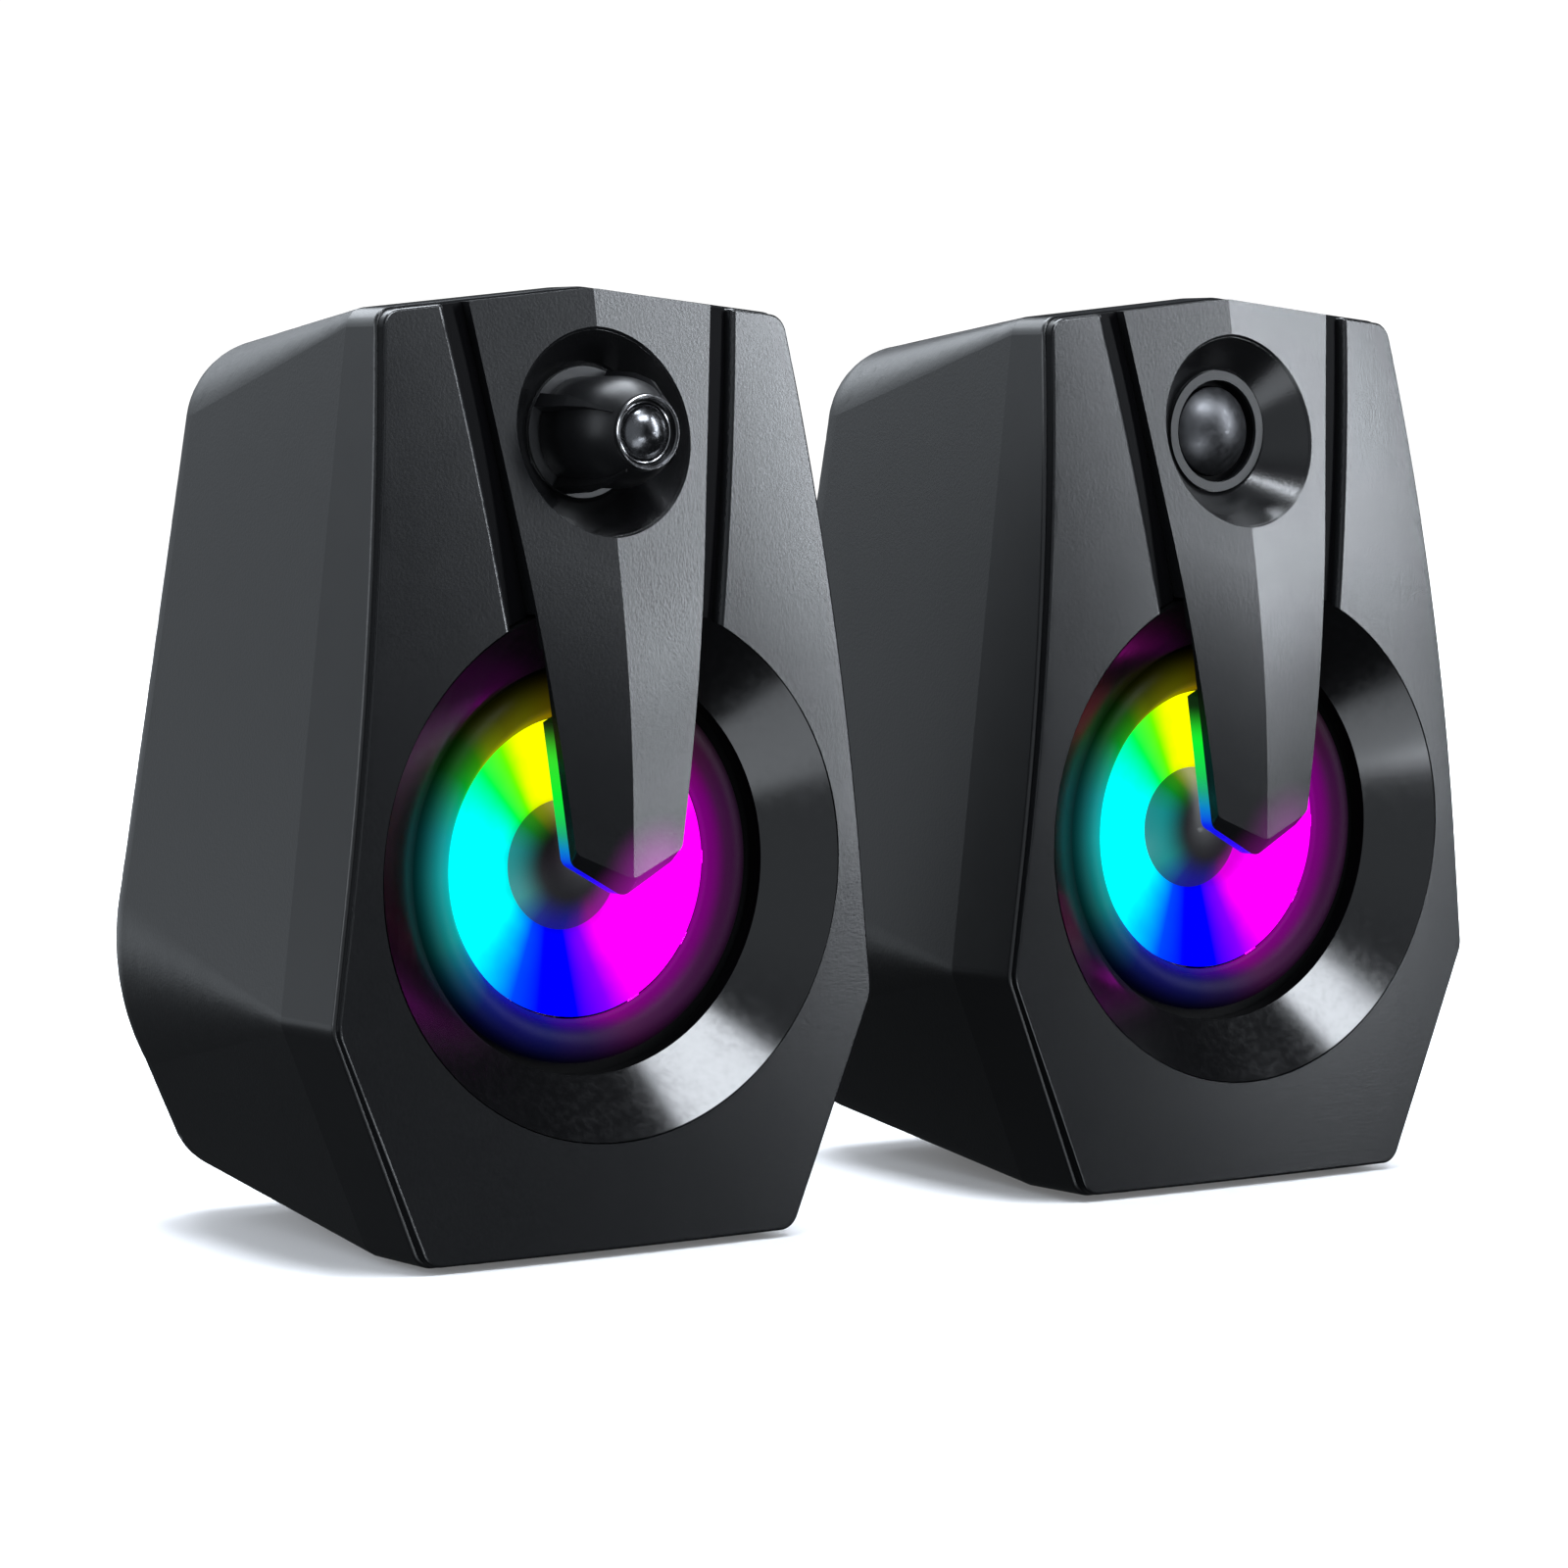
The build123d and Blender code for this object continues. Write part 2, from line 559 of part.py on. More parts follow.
def amplifier_capacitors():
    return group([rod(4.0, 22.85, 35.0, x=9, z=z) for z in (112, 122, 132)])


# ---------------------------------------------------------------- tweeter, right cabinet
DOME_RADIUS = 7.7


def tweeter_ring():
    return tube(HORN_INNER - 0.1, 8.9, 6.35, 7.05, z=HORN_Z)


def tweeter_body():
    """Tweeter can with a recess for the dome's coil."""
    slot_y, front_y, back_y = 11.5, 8.5, 20.0
    return ring_solid(
        (0, front_y), (6.6, front_y), (6.6, slot_y), (7.9, slot_y), (7.9, front_y), (10.2, front_y),
        (10.2, back_y), (0, back_y), z=HORN_Z)


def tweeter_dome():
    outside = dome_arc(DOME_RADIUS, 7.6, 3.9)
    inside = dome_arc(7.0, 7.6, 3.3)
    skirt = Polyline(
        (DOME_RADIUS, 7.6), (DOME_RADIUS, 8.1), (7.5, 8.1), (7.5, 10.6), (7.0, 10.6), (7.0, 7.6))
    face = make_face([outside, *skirt.edges(), inside, Line(inside @ 0, outside @ 0)])
    return Pos(0, 0, HORN_Z) * revolve(face, Axis.Y)


# ---------------------------------------------------------------- the two cabinets
def shared_pieces():
    """Pieces that both cabinets have, by the name that follows the side's."""
    return {
        "rear_shell": rear_shell(),
        "front_frame": front_frame(),
        "face_plate": face_plate(),
        "blade": blade(),
        "blade_light_edge": blade_light_edge(),
        "groove_trims": groove_trims(),
        "woofer_trim_ring": woofer_trim_ring(),
        "woofer_surround": woofer_surround(),
        "woofer_cone": woofer_cone(),
        "woofer_hub": woofer_hub(),
        "woofer_voice_coil": woofer_voice_coil(),
        "woofer_spider": woofer_spider(),
        "woofer_basket": woofer_basket(),
        "woofer_top_plate": woofer_top_plate(),
        "woofer_magnet": woofer_magnet(),
        "woofer_yoke": woofer_yoke(),
        "light_board": light_board(),
        "light_leds": light_leds(),
        "woofer_screws": woofer_screws(),
        "cabinet_screws": cabinet_screws(),
        "foot_pads": foot_pads(),
        "cable_gland": cable_gland(),
    }


def left_pieces():
    return {
        "horn_cup": horn_cup(3.8),
        "knob_body": knob_body(),
        "knob_nose_ring": knob_nose_ring(),
        "knob_cap": knob_cap(),
        "knob_back_disc": knob_back_disc(),
        "volume_shaft": volume_shaft(),
        "volume_control": volume_control(),
        "amplifier_board": amplifier_board(),
        "amplifier_heatsink": amplifier_heatsink(),
        "amplifier_capacitors": amplifier_capacitors(),
    }


def right_pieces():
    return {
        "horn_cup": horn_cup(9.0),
        "tweeter_ring": tweeter_ring(),
        "tweeter_body": tweeter_body(),
        "tweeter_dome": tweeter_dome(),
    }


def main():
    os.makedirs("parts", exist_ok=True)
    both = shared_pieces()
    for side, own in (("left", left_pieces()), ("right", right_pieces())):
        for name, shape in {**both, **own}.items():
            export_step(place(shape, side), f"parts/{side}_{name}.step")


main()
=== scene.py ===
import math

import bpy
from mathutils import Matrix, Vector


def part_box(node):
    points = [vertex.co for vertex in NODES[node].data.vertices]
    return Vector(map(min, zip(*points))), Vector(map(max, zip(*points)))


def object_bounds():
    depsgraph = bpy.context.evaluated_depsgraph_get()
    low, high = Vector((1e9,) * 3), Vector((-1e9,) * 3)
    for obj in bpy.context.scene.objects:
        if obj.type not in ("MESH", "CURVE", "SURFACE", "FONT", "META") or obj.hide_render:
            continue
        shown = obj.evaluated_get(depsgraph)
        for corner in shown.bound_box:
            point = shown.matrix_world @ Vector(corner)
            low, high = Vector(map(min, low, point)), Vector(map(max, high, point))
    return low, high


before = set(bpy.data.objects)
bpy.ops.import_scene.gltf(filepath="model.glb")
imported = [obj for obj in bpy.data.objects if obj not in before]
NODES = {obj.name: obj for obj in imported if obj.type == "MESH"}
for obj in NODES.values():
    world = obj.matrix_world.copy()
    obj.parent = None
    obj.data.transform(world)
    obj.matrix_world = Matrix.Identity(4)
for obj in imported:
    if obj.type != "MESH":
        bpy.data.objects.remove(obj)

CAD_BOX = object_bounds()
SIDES = ("left", "right")


# ---------------------------------------------------------------- node graph helpers
class Graph:
    """Short calls for wiring up one node tree."""

    def __init__(self, tree):
        self.tree = tree
        self.tree.nodes.clear()

    def node(self, kind, **settings):
        made = self.tree.nodes.new(kind)
        for key, value in settings.items():
            setattr(made, key, value)
        return made

    def put(self, socket, value):
        """Give a socket a plain value, or link another node's output to it."""
        if isinstance(value, bpy.types.NodeSocket):
            self.tree.links.new(value, socket)
        elif value is not None:
            socket.default_value = value

    def math(self, operation, a, b=None, c=None, clamp=False):
        made = self.node("ShaderNodeMath", operation=operation, use_clamp=clamp)
        for socket, value in zip(made.inputs, (a, b, c)):
            self.put(socket, value)
        return made.outputs[0]

    def vary(self, noise, amount, middle, clamp=False):
        """A value that wanders about the middle as the noise goes from 0 to 1."""
        return self.math("MULTIPLY_ADD", self.math("SUBTRACT", noise, 0.5), amount, middle, clamp=clamp)

    def smooth(self, value, low, high, to_low=0.0, to_high=1.0):
        """A smooth step from to_low at low to to_high at high."""
        made = self.node("ShaderNodeMapRange", interpolation_type="SMOOTHSTEP")
        for name, given in (("Value", value), ("From Min", low), ("From Max", high),
                            ("To Min", to_low), ("To Max", to_high)):
            self.put(made.inputs[name], given)
        return made.outputs[0]

    def noise(self, where, scale, detail=2.0, rough=0.5):
        made = self.node("ShaderNodeTexNoise")
        self.put(made.inputs["Vector"], where)
        made.inputs["Scale"].default_value = scale
        made.inputs["Detail"].default_value = detail
        made.inputs["Roughness"].default_value = rough
        return made.outputs["Fac"]

    def mix(self, factor, a, b):
        made = self.node("ShaderNodeMix", data_type="RGBA", blend_type="MIX")
        factor_socket, a_socket, b_socket = made.inputs[0], made.inputs[6], made.inputs[7]
        self.put(factor_socket, factor)
        self.put(a_socket, a)
        self.put(b_socket, b)
        return made.outputs[2]

    def ramp(self, factor, stops):
        """A colour ramp from (place, (red, green, blue)) stops."""
        made = self.node("ShaderNodeValToRGB")
        elements = made.color_ramp.elements
        while len(elements) > 1:
            elements.remove(elements[-1])
        elements[0].position, elements[0].color = stops[0][0], rgb(*stops[0][1])
        for place, color in stops[1:]:
            elements.new(place).color = rgb(*color)
        self.put(made.inputs[0], factor)
        return made.outputs[0]

    def grey_ramp(self, factor, stops):
        return self.ramp(factor, [(place, (value, value, value)) for place, value in stops])

    def here(self):
        """Object coordinates. A CAD node's object sits at the origin, so these are the row's metres."""
        return self.node("ShaderNodeTexCoord").outputs["Object"]

    def xyz(self, vector):
        made = self.node("ShaderNodeSeparateXYZ")
        self.put(made.inputs[0], vector)
        return made.outputs[0], made.outputs[1], made.outputs[2]

    def facing(self):
        """X, Y and Z of the way the flat surface faces."""
        return self.xyz(self.node("ShaderNodeNewGeometry").outputs["True Normal"])

    def toward(self, vector, way):
        made = self.node("ShaderNodeVectorMath", operation="DOT_PRODUCT")
        self.put(made.inputs[0], vector)
        self.put(made.inputs[1], way)
        return made.outputs["Value"]

    def offset(self, a, b, middle):
        """The two steps from a middle point to (a, b) in their plane, and the distance."""
        da = self.math("SUBTRACT", a, middle[0])
        db = self.math("SUBTRACT", b, middle[1])
        squares = self.math("ADD", self.math("MULTIPLY", da, da), self.math("MULTIPLY", db, db))
        return da, db, self.math("SQRT", squares)

    def bump(self, shader, height, distance, strength=1.0):
        made = self.node("ShaderNodeBump")
        made.inputs["Strength"].default_value = strength
        made.inputs["Distance"].default_value = distance
        self.put(made.inputs["Height"], height)
        self.put(shader.inputs["Normal"], made.outputs[0])


def new_material(name):
    made = bpy.data.materials.new(name)
    made.use_nodes = True
    graph = Graph(made.node_tree)
    out = graph.node("ShaderNodeOutputMaterial")
    shader = graph.node("ShaderNodeBsdfPrincipled")
    graph.tree.links.new(shader.outputs[0], out.inputs[0])
    return made, graph, shader


def rgb(*values):
    return (*values, 1.0)


def middle_of(node_name):
    """The middle of a node's box, as X and Z."""
    low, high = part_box(node_name)
    return (low[0] + high[0]) / 2, (low[2] + high[2]) / 2


# ---------------------------------------------------------------- plastics, rubber, metal
FACE = {"color": (0.0058, 0.006, 0.0066), "rough": 0.26, "grain": 2100.0, "depth": 0.000016, "spread": 0.03}
SHELL_COLOR = (0.0062, 0.0064, 0.007)
TONE_DRIFT = 0.15
GRAIN_TONE = 0.5


def moulded_graph(name, color, rough, grain, depth=0.0, spread=0.06, specular=0.5):
    """Moulded plastic: fine spark-eroded grain with slow drift in tone and gloss."""
    made, graph, shader = new_material(name)
    where = graph.here()
    fine = graph.noise(where, grain, 1.5, 0.6)
    drift = graph.noise(where, 38.0, 3.0, 0.55)
    smear = graph.noise(where, 160.0, 4.0, 0.6)
    tone = graph.vary(drift, TONE_DRIFT, 1.0)
    if depth:
        tone = graph.vary(fine, GRAIN_TONE, tone)
        graph.bump(shader, fine, depth)
    tint = graph.node("ShaderNodeCombineColor")
    for socket, value in zip(tint.inputs, color):
        graph.put(socket, graph.math("MULTIPLY", tone, value))
    graph.put(shader.inputs["Base Color"], tint.outputs[0])
    gloss = graph.vary(smear, spread, rough)
    graph.put(shader.inputs["Roughness"], graph.vary(fine, spread, gloss, clamp=True))
    shader.inputs["Specular IOR Level"].default_value = specular
    return made, graph, shader


def moulded(*args, **settings):
    """The same as moulded_graph, where only the material is wanted."""
    return moulded_graph(*args, **settings)[0]


def plate_plastic():
    """The face's plastic. Its left-facing edges get a low specular level: painted shade for the dark seams
    beside them.
    """
    made, graph, shader = moulded_graph("face_plastic", **FACE)
    rightward, _, _ = graph.facing()
    # Painted shade: left-facing edges keep only a low specular level.
    graph.put(shader.inputs["Specular IOR Level"], graph.smooth(rightward, -0.85, -0.5, 0.04, 0.5))
    return made


def shell_plastic():
    """Fine-grained moulding. Its flat roof is rougher and keeps almost no specular: painted shade that keeps
    it dark at a low glance from behind.
    """
    made, graph, shader = moulded_graph("shell_plastic", SHELL_COLOR, 0.35, 1900.0, 0.000024)
    _, _, upward = graph.facing()
    roof = graph.smooth(upward, 0.90, 0.97)
    grained = shader.inputs["Roughness"].links[0].from_socket
    graph.put(shader.inputs["Roughness"], graph.math("MULTIPLY_ADD", roof, 0.3, grained, clamp=True))
    # Painted shade: upward-facing faces keep almost no specular.
    graph.put(shader.inputs["Specular IOR Level"], graph.math("MULTIPLY_ADD", roof, -0.46, 0.5))
    return made


def frame_plastic():
    """Satin plastic. Where the frame's roof and its front edge face up, they keep almost no specular:
    painted shade for the dark of the room's far end.
    """
    made, graph, shader = moulded_graph("frame_plastic", SHELL_COLOR, 0.32, 2600.0, 0.000006)
    rightward, _, upward = graph.facing()
    roof = graph.math("MULTIPLY", graph.smooth(upward, 0.15, 0.35), graph.smooth(rightward, -0.5, -0.25))
    # Painted shade: upward faces that do not face left keep almost no specular.
    graph.put(shader.inputs["Specular IOR Level"], graph.math("MULTIPLY_ADD", roof, -0.47, 0.5))
    return made


def gloss_black(name):
    """Polished black plastic with faint orange peel and hairline wipes."""
    made, graph, shader = new_material(name)
    where = graph.here()
    peel = graph.noise(where, 90.0, 1.0, 0.4)
    wipes = graph.noise(where, 700.0, 3.0, 0.7)
    black = graph.mix(wipes, rgb(0.0008, 0.0008, 0.001), rgb(0.002, 0.002, 0.0024))
    graph.put(shader.inputs["Base Color"], black)
    graph.put(shader.inputs["Roughness"], graph.smooth(wipes, 0.35, 0.8, 0.15, 0.21))
    shader.inputs["IOR"].default_value = 1.6
    graph.bump(shader, peel, 0.00006, 0.25)
    return made


def metal(name, color, rough):
    made, graph, shader = new_material(name)
    scratch = graph.noise(graph.here(), 900.0, 3.0, 0.7)
    worn = [part * 0.8 for part in color]
    graph.put(shader.inputs["Base Color"], graph.mix(scratch, rgb(*worn), rgb(*color)))
    graph.put(shader.inputs["Roughness"], graph.smooth(scratch, 0.2, 0.8, rough - 0.06, rough + 0.1))
    shader.inputs["Metallic"].default_value = 1.0
    return made


def cloth(name, color):
    """Impregnated cloth: two crossed thread waves over a soft colour drift."""
    made, graph, shader = new_material(name)
    where = graph.here()
    x, _, z = graph.xyz(where)
    radians_per_metre = 7800.0
    warp = graph.math("SINE", graph.math("MULTIPLY", x, radians_per_metre))
    weft = graph.math("SINE", graph.math("MULTIPLY", z, radians_per_metre))
    threads = graph.math("MULTIPLY_ADD", graph.math("MULTIPLY", warp, weft), 0.5, 0.5)
    drift = graph.noise(where, 240.0, 3.0, 0.6)
    shade = graph.math("MULTIPLY_ADD", drift, 0.3, graph.math("MULTIPLY", threads, 0.5))
    soaked = [part * 0.6 for part in color]
    graph.put(shader.inputs["Base Color"], graph.mix(shade, rgb(*soaked), rgb(*color)))
    shader.inputs["Roughness"].default_value = 0.85
    shader.inputs["Sheen Weight"].default_value = 0.2
    graph.bump(shader, threads, 0.00008)
    return made


def knob_ring():
    """The knob's nose: two bright polished metal edges, with near-black plastic between them as painted
    shade in the recess.
    """
    made, graph, shader = new_material("knob_ring")
    inner_edge, edge_half, softness = 0.0047, 0.00027, 0.00005
    recess_end, outer_edge = 0.0054, 0.0056
    x, _, z = graph.xyz(graph.here())
    _, _, radius = graph.offset(x, z, middle_of("left_knob_nose_ring"))
    from_inner = graph.math("ABSOLUTE", graph.math("SUBTRACT", radius, inner_edge))
    inner = graph.smooth(from_inner, edge_half - softness, edge_half + softness, 1.0, 0.0)
    outer = graph.smooth(radius, recess_end, outer_edge)
    bright = graph.math("MAXIMUM", outer, inner)
    scratch = graph.noise(graph.here(), 900.0, 3.0, 0.7)
    polished = graph.mix(scratch, rgb(0.30, 0.30, 0.31), rgb(0.42, 0.42, 0.43))
    # Painted shade: the recess between the rims is near-black plastic, not metal.
    graph.put(shader.inputs["Base Color"], graph.mix(bright, rgb(0.004, 0.004, 0.0045), polished))
    graph.put(shader.inputs["Metallic"], bright)
    graph.put(shader.inputs["Roughness"], graph.smooth(scratch, 0.2, 0.8, 0.16, 0.26))
    return made


# ---------------------------------------------------------------- the woofers' coloured lights, painted as glow on the parts round them
def turn(degrees):
    """An angle about the woofer's axis, 0 at the right and anticlockwise, as a place on a colour ramp."""
    return (degrees / 360.0 + 0.5) % 1.0


CYAN, BLUE, MAGENTA, YELLOW = (0.0, 1.0, 1.0), (0.0, 0.0, 1.0), (1.0, 0.0, 1.0), (1.0, 1.0, 0.0)
HUES = [
    (0.0, CYAN), (turn(-150), CYAN), (turn(-136), (0.0, 0.5, 1.0)), (turn(-121), (0.0, 0.05, 1.0)),
    (turn(-108), BLUE), (turn(-90), BLUE), (turn(-75), (0.2, 0.0, 1.0)), (turn(-60), MAGENTA),
    (turn(18), MAGENTA), (turn(50), (1.0, 0.03, 0.25)), (turn(72), (1.0, 0.35, 0.0)), (turn(100), YELLOW),
    (turn(108), YELLOW), (turn(120), (0.68, 1.0, 0.0)), (turn(127), (0.1, 1.0, 0.0)),
    (turn(138), (0.0, 1.0, 0.05)), (turn(150), (0.0, 1.0, 0.6)), (turn(163), CYAN), (1.0, CYAN),
]
STRIP_HUES = [
    (0.0, (0.0, 0.0, 0.9)), (turn(-160), (0.01, 0.0, 1.0)), (turn(-115), (0.13, 0.0, 1.0)),
    (turn(-95), (0.5, 0.0, 1.0)), (turn(-80), MAGENTA), (turn(18), MAGENTA), (turn(50), (1.0, 0.03, 0.25)),
    (turn(72), (1.0, 0.35, 0.0)), (turn(110), (0.25, 0.6, 0.01)), (turn(122), (0.045, 0.72, 0.02)),
    (turn(132), (0.0, 0.95, 0.02)), (turn(143), (0.01, 0.6, 0.1)), (turn(150), (0.01, 0.4, 0.22)),
    (turn(160), (0.0, 0.22, 0.65)), (turn(172), (0.0, 0.01, 0.88)), (1.0, (0.0, 0.0, 0.9)),
]
# How much painted glow from the cone each stretch of the surround takes.
SURROUND_PAINTED_GLOW_SHARE = [
    (0.0, 1.0), (turn(-150), 0.65), (turn(-120), 0.32), (turn(-90), 0.14), (turn(-30), 0.10),
    (turn(40), 0.10), (turn(100), 0.12), (turn(125), 0.25), (turn(150), 0.85), (1.0, 1.0),
]
# Metres from the cone's axis to the point that the colours turn about. On the surround it lies further left.
HUE_SHIFT = {"left": 0.0, "right": 0.0024}
SURROUND_HUE_SHIFT = -0.0077
# Strength of the painted glow round each blade's foot.
BLADE_PAINTED_GLOW = {"left": 0.28, "right": 0.12}


def polar(graph, side, shift=0.0):
    """Radius in metres and angle (0 to 1 from the left, anticlockwise) about the woofer's axis."""
    axis_x, axis_z = middle_of(f"{side}_woofer_cone")
    x, _, z = graph.xyz(graph.here())
    dx, dz, radius = graph.offset(x, z, (axis_x + shift, axis_z))
    around = graph.math("ARCTAN2", dz, dx)
    return radius, graph.math("MULTIPLY_ADD", around, 0.5 / math.pi, 0.5)


def lit_cone(side):
    """Translucent cone with a painted glow standing in for the coloured lamps behind it: emission in their
    colours, stronger toward its edge.
    """
    made, graph, shader = new_material(f"{side}_lit_cone")
    radius, angle = polar(graph, side, HUE_SHIFT[side])
    streaks = graph.noise(graph.here(), 260.0, 2.0, 0.5)
    level = graph.smooth(radius, 0.0095, 0.0135, 0.8, 1.3)
    level = graph.math("MULTIPLY", level, graph.smooth(streaks, 0.2, 0.8, 0.92, 1.05))
    shader.inputs["Base Color"].default_value = rgb(0.0, 0.0, 0.0)
    shader.inputs["Specular IOR Level"].default_value = 0.0
    shader.inputs["Roughness"].default_value = 0.6
    # Painted glow: emission coloured by the angle round the axis.
    graph.put(shader.inputs["Emission Color"], graph.ramp(angle, HUES))
    graph.put(shader.inputs["Emission Strength"], level)
    return made


def lit_hub(side):
    """Dark satin dust cap. A painted glow in the lamps' colours lies on its rim, for the little light that
    passes through it.
    """
    made, graph, shader = new_material(f"{side}_lit_hub")
    radius, angle = polar(graph, side, HUE_SHIFT[side])
    grain = graph.noise(graph.here(), 2400.0, 1.5, 0.6)
    satin = graph.mix(grain, rgb(0.006, 0.006, 0.007), rgb(0.012, 0.012, 0.013))
    graph.put(shader.inputs["Base Color"], satin)
    shader.inputs["Roughness"].default_value = 0.42
    # Painted glow on the rim, in the lamps' colours.
    graph.put(shader.inputs["Emission Color"], graph.ramp(angle, HUES))
    graph.put(shader.inputs["Emission Strength"], graph.smooth(radius, 0.0050, 0.0108, 0.0, 0.24))
    return made


def lit_strip(side):
    """Clear strip behind the blade, with a painted glow in the colours of the lamps beside it."""
    made, graph, shader = new_material(f"{side}_lit_strip")
    radius, angle = polar(graph, side, HUE_SHIFT[side])
    frost = graph.noise(graph.here(), 300.0)
    shader.inputs["Base Color"].default_value = rgb(0.01, 0.01, 0.012)
    shader.inputs["Specular IOR Level"].default_value = 0.2
    graph.put(shader.inputs["Roughness"], graph.smooth(frost, 0.2, 0.8, 0.25, 0.35))
    # Painted glow, fading away from the cone's axis.
    graph.put(shader.inputs["Emission Color"], graph.ramp(angle, STRIP_HUES))
    graph.put(shader.inputs["Emission Strength"], graph.smooth(radius, 0.0215, 0.0275, 0.95, 0.02))
    return made


def surround_rubber(side):
    """Soft rubber with a faint grain.

    Painted glow: its inner edge glows all round, and its inner slope carries painted light from the cone,
    most of it at the left.
    """
    made, graph, shader = new_material(f"{side}_surround_rubber")
    radius, angle = polar(graph, side)
    _, hue_angle = polar(graph, side, HUE_SHIFT[side] + SURROUND_HUE_SHIFT)
    grain = graph.noise(graph.here(), 2200.0, 2.0, 0.6)
    soft_black = graph.mix(grain, rgb(0.001, 0.001, 0.0012), rgb(0.003, 0.003, 0.0034))
    graph.put(shader.inputs["Base Color"], soft_black)
    graph.put(shader.inputs["Roughness"], graph.smooth(grain, 0.2, 0.8, 0.46, 0.56))
    shader.inputs["Specular IOR Level"].default_value = 0.07
    # Painted glow from the cone on the inner slope, and round the inner edge.
    slope = graph.smooth(radius, 0.0255, 0.0325, 0.45, 0.0)
    slope = graph.math("MULTIPLY", slope, graph.grey_ramp(angle, SURROUND_PAINTED_GLOW_SHARE))
    edge = graph.smooth(radius, 0.0240, 0.0272, 0.20, 0.0)
    graph.put(shader.inputs["Emission Color"], graph.ramp(hue_angle, HUES))
    graph.put(shader.inputs["Emission Strength"], graph.math("ADD", slope, edge))
    return made


def lit_blade(side):
    """The face's plastic, with a painted glow of the cone's light round the blade's pointed foot."""
    made, graph, shader = moulded_graph(f"{side}_blade_plastic", **FACE)
    axis_x, _ = middle_of(f"{side}_woofer_cone")
    foot_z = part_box(f"{side}_blade")[0][2]
    x, _, z = graph.xyz(graph.here())
    _, _, away = graph.offset(x, z, (axis_x + 0.006, foot_z + 0.001))
    # Painted glow: magenta emission round the blade's foot.
    shader.inputs["Emission Color"].default_value = rgb(1.0, 0.02, 1.0)
    graph.put(shader.inputs["Emission Strength"], graph.smooth(away, 0.002, 0.0125, BLADE_PAINTED_GLOW[side], 0.0))
    return made


def lamp(side):
    """Small lamps in clear resin, each in the colour of its place round the cone."""
    made, graph, shader = new_material(f"{side}_lamp")
    _, angle = polar(graph, side)
    resin = graph.noise(graph.here(), 900.0)
    shader.inputs["Base Color"].default_value = rgb(0.8, 0.8, 0.8)
    graph.put(shader.inputs["Roughness"], graph.smooth(resin, 0.2, 0.8, 0.15, 0.3))
    graph.put(shader.inputs["Emission Color"], graph.ramp(angle, HUES))
    shader.inputs["Emission Strength"].default_value = 3.0
    return made


# ---------------------------------------------------------------- which node wears what
SHARED = {
    "rear_shell": shell_plastic(),
    "front_frame": frame_plastic(),
    "face_plate": plate_plastic(),
    "groove_trims": moulded("groove_black", (0.002, 0.002, 0.0024), 0.4, 3000.0, specular=0.03),
    "woofer_trim_ring": gloss_black("piano_black"),
    "woofer_voice_coil": metal("copper_winding", (0.72, 0.34, 0.18), 0.35),
    "woofer_spider": cloth("spider_cloth", (0.42, 0.27, 0.10)),
    "woofer_basket": metal("pressed_steel", (0.42, 0.42, 0.43), 0.38),
    "woofer_magnet": moulded("ferrite", (0.035, 0.035, 0.038), 0.55, 2500.0, 0.00004),
    "light_board": moulded("solder_mask", (0.01, 0.10, 0.04), 0.35, 1500.0, 0.00001),
    "woofer_screws": metal("black_oxide", (0.08, 0.08, 0.085), 0.4),
    "foot_pads": moulded("pad_rubber", (0.008, 0.008, 0.008), 0.75, 2600.0, 0.00004),
    "horn_cup": moulded("horn_black", (0.0045, 0.0046, 0.005), 0.22, 2300.0, 0.000018, 0.04, 0.6),
    "knob_body": moulded("knob_black", (0.006, 0.0061, 0.0067), 0.36, 2600.0, 0.000006, specular=0.18),
    "knob_nose_ring": knob_ring(),
    "knob_cap": metal("knob_cap_metal", (0.15, 0.152, 0.16), 0.23),
    "knob_back_disc": moulded("knob_disc_grey", (0.03, 0.0305, 0.032), 0.3, 2300.0, 0.000008, specular=0.9),
    "tweeter_ring": moulded("disc_grey", (0.012, 0.0122, 0.013), 0.30, 2300.0, 0.000008, specular=0.35),
    "tweeter_dome": metal("dome_coating", (0.11, 0.111, 0.117), 0.41),
    "amplifier_heatsink": metal("anodised_aluminium", (0.55, 0.55, 0.57), 0.32),
    "amplifier_capacitors": moulded("capacitor_sleeve", (0.02, 0.03, 0.08), 0.25, 1800.0),
}
SAME_AS = {
    "woofer_top_plate": "woofer_basket",
    "woofer_yoke": "woofer_basket",
    "volume_shaft": "woofer_basket",
    "volume_control": "woofer_basket",
    "cabinet_screws": "woofer_screws",
    "cable_gland": "foot_pads",
    "amplifier_board": "light_board",
    "tweeter_body": "groove_trims",
}
# These carry painted glow, and the polished ring round them would show them as hard bright patches.
NOT_MIRRORED = ("woofer_cone", "woofer_hub", "blade_light_edge")


def dress(side):
    own = {
        "woofer_cone": lit_cone(side),
        "woofer_hub": lit_hub(side),
        "blade_light_edge": lit_strip(side),
        "woofer_surround": surround_rubber(side),
        "light_leds": lamp(side),
        "blade": lit_blade(side),
    }
    for name, node in NODES.items():
        if not name.startswith(side + "_"):
            continue
        piece = name[len(side) + 1:]
        node.data.materials.clear()
        node.data.materials.append(own.get(piece) or SHARED[SAME_AS.get(piece, piece)])
        node.visible_glossy = piece not in NOT_MIRRORED


for side in SIDES:
    dress(side)


# ---------------------------------------------------------------- floor
FLOOR_Z = -0.0001
FLOOR_REACH = 6.0
FLOOR_RINGS = 10
FLOOR_SPOKES = 64


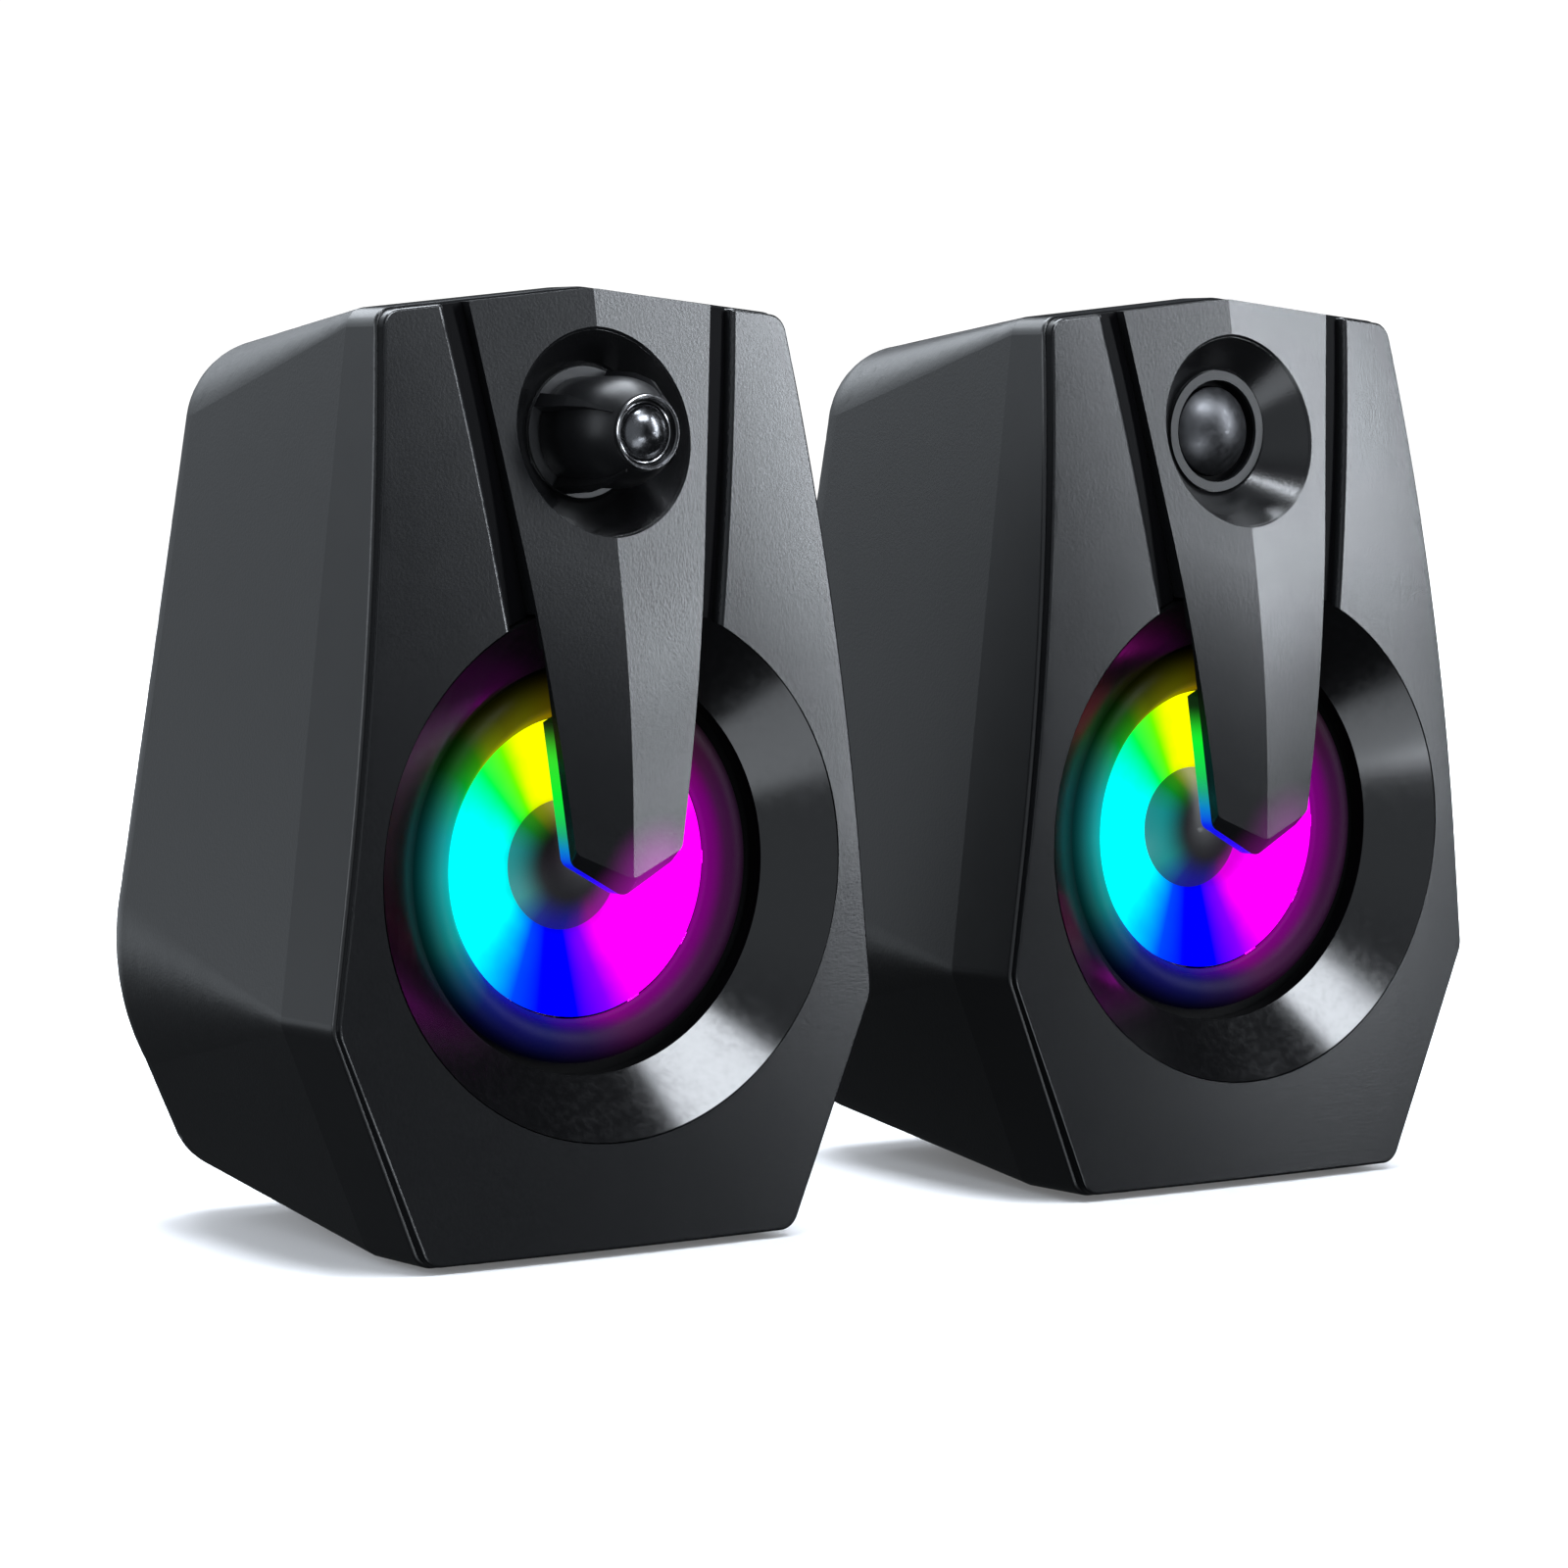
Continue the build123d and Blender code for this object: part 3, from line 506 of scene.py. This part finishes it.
def floor_mesh(middle):
    """A round sheet of rings that grow outward, with a fan of triangles in the middle."""
    verts = [(*middle, FLOOR_Z)]
    for ring in range(1, FLOOR_RINGS + 1):
        radius = FLOOR_REACH * (ring / FLOOR_RINGS) ** 2
        for spoke in range(FLOOR_SPOKES):
            angle = 2 * math.pi * spoke / FLOOR_SPOKES
            across, along = radius * math.cos(angle), radius * math.sin(angle)
            verts.append((middle[0] + across, middle[1] + along, FLOOR_Z))
    faces = []
    for spoke in range(FLOOR_SPOKES):
        following = (spoke + 1) % FLOOR_SPOKES
        faces.append((0, 1 + spoke, 1 + following))
        for ring in range(FLOOR_RINGS - 1):
            inner = 1 + ring * FLOOR_SPOKES
            outer = inner + FLOOR_SPOKES
            faces.append((inner + spoke, outer + spoke, outer + following, inner + following))
    mesh = bpy.data.meshes.new("floor")
    mesh.from_pydata(verts, [], faces)
    mesh.update()
    return mesh


def pale_floor(middle):
    """Near-white, and brighter further out, so that it runs into the white backdrop."""
    made, graph, shader = new_material("pale_floor")
    x, y, _ = graph.xyz(graph.here())
    _, _, radius = graph.offset(x, y, middle)
    shader.inputs["Base Color"].default_value = rgb(0.80, 0.80, 0.82)
    shader.inputs["Roughness"].default_value = 0.9
    shader.inputs["Specular IOR Level"].default_value = 0.1
    shader.inputs["Emission Color"].default_value = rgb(1.0, 1.0, 1.0)
    graph.put(shader.inputs["Emission Strength"], graph.smooth(radius, 0.14, 0.55, 0.12, 1.1))
    return made


def floor():
    low, high = CAD_BOX
    middle = ((low[0] + high[0]) / 2, (low[1] + high[1]) / 2)
    ground = bpy.data.objects.new("floor", floor_mesh(middle))
    bpy.context.scene.collection.objects.link(ground)
    ground.data.materials.append(pale_floor(middle))
    ground.visible_glossy = False
    ground.visible_diffuse = False
    ground.visible_shadow = False


floor()


# ---------------------------------------------------------------- world: white backdrop, dim studio round it
def studio_light(graph):
    """How bright the room is, by direction: a soft wall behind the pair and a glow in front, at its left."""
    way = graph.node("ShaderNodeTexCoord").outputs["Generated"]
    _, _, up = graph.xyz(way)
    behind = graph.smooth(graph.toward(way, (-0.55, 0.835, 0.0)), 0.35, 0.95)
    wall = graph.smooth(up, -0.16, 0.02, 0.01, 0.22)
    rise = graph.smooth(up, 0.03, 0.5, 0.0, 2.2)
    below_horizon = graph.smooth(up, -0.05, 0.02, 0.95, 0.0)
    band = graph.math("MULTIPLY", graph.smooth(up, -0.19, -0.12), below_horizon)
    far = graph.math("ADD", graph.math("ADD", wall, rise), band)
    near = graph.smooth(graph.toward(way, (-0.78, -0.62, 0.08)), 0.55, 0.97, 0.0, 0.5)
    ambient = 0.03
    return graph.math("ADD", graph.math("ADD", graph.math("MULTIPLY", behind, far), near), ambient)


def backdrop():
    world = bpy.data.worlds.new("studio")
    bpy.context.scene.world = world
    world.use_nodes = True
    graph = Graph(world.node_tree)
    out = graph.node("ShaderNodeOutputWorld")
    white = graph.node("ShaderNodeBackground")
    white.inputs["Color"].default_value = rgb(1.0, 1.0, 1.0)
    white.inputs["Strength"].default_value = 1.1
    room = graph.node("ShaderNodeBackground")
    room.inputs["Color"].default_value = rgb(0.86, 0.93, 1.0)
    graph.put(room.inputs["Strength"], studio_light(graph))
    pick = graph.node("ShaderNodeMixShader")
    graph.put(pick.inputs[0], graph.node("ShaderNodeLightPath").outputs["Is Camera Ray"])
    graph.put(pick.inputs[1], room.outputs[0])
    graph.put(pick.inputs[2], white.outputs[0])
    graph.put(out.inputs[0], pick.outputs[0])


backdrop()


# ---------------------------------------------------------------- lights
AIM = Vector((0.0, -0.03, 0.08))
LIGHT_TINT = (0.88, 0.935, 1.0)
# Name, azimuth and elevation in degrees, distance, width and height in metres, radiance.
SOFTBOXES = [
    ("strip_right", 46.0, 23.3, 4.0, 0.38, 2.72, 33.0),
    ("strip_low", 46.5, -3.0, 1.5, 0.20, 0.28, 13.0),
    ("front_top", 1.0, 51.0, 1.5, 0.80, 0.42, 16.0),
    ("horn_glint", -25.0, 75.0, 1.5, 0.36, 0.22, 34.0),
    ("overhead", 165.0, 66.0, 1.8, 1.2, 1.1, 14.0),
    ("rear_top", 125.0, 50.0, 1.8, 1.1, 0.5, 2.0),
    ("rear_high", 182.0, 34.0, 2.0, 1.2, 0.35, 5.0),
    ("side_right", 108.0, 11.0, 3.0, 1.5, 0.8, 6.0),
    ("side_left", -96.0, 14.0, 2.5, 0.8, 1.6, 4.5),
    ("low_left", -31.0, -38.0, 1.2, 0.60, 0.50, 2.2),
    ("seam_low", -14.0, -23.0, 1.2, 0.40, 0.14, 11.0),
]


def softbox(name, azimuth, elevation, distance, width, height, radiance):
    """Azimuth 0 is straight in front (-Y) and grows toward +X. Radiance is what a mirror would show."""
    around, rise = math.radians(azimuth), math.radians(elevation)
    way = Vector((math.sin(around) * math.cos(rise), -math.cos(around) * math.cos(rise), math.sin(rise)))
    light = bpy.data.lights.new(name, "AREA")
    light.shape = "RECTANGLE"
    light.size, light.size_y = width, height
    light.energy = radiance * math.pi * width * height
    light.color = LIGHT_TINT
    panel = bpy.data.objects.new(name, light)
    panel.location = AIM + way * distance
    panel.rotation_euler = way.to_track_quat("Z", "Y").to_euler()
    panel.visible_camera = False
    bpy.context.scene.collection.objects.link(panel)


for settings in SOFTBOXES:
    softbox(*settings)


# ---------------------------------------------------------------- camera
CAMERA_PLACE = (-0.5316, -0.7306, 0.1338)
CAMERA_DIP = 0.0695
CAMERA_TURN = -0.6249
LENS_MM = 120.4


def camera():
    optics = bpy.data.cameras.new("camera")
    optics.sensor_width = 36.0
    optics.lens = LENS_MM
    optics.clip_start = 0.01
    optics.clip_end = 50.0
    body = bpy.data.objects.new("camera", optics)
    body.location = CAMERA_PLACE
    body.rotation_euler = (math.pi / 2 - CAMERA_DIP, 0.0, CAMERA_TURN)
    bpy.context.scene.collection.objects.link(body)
    bpy.context.scene.camera = body


camera()
view = bpy.context.scene.view_settings
view.view_transform = "Standard"
view.look = "None"
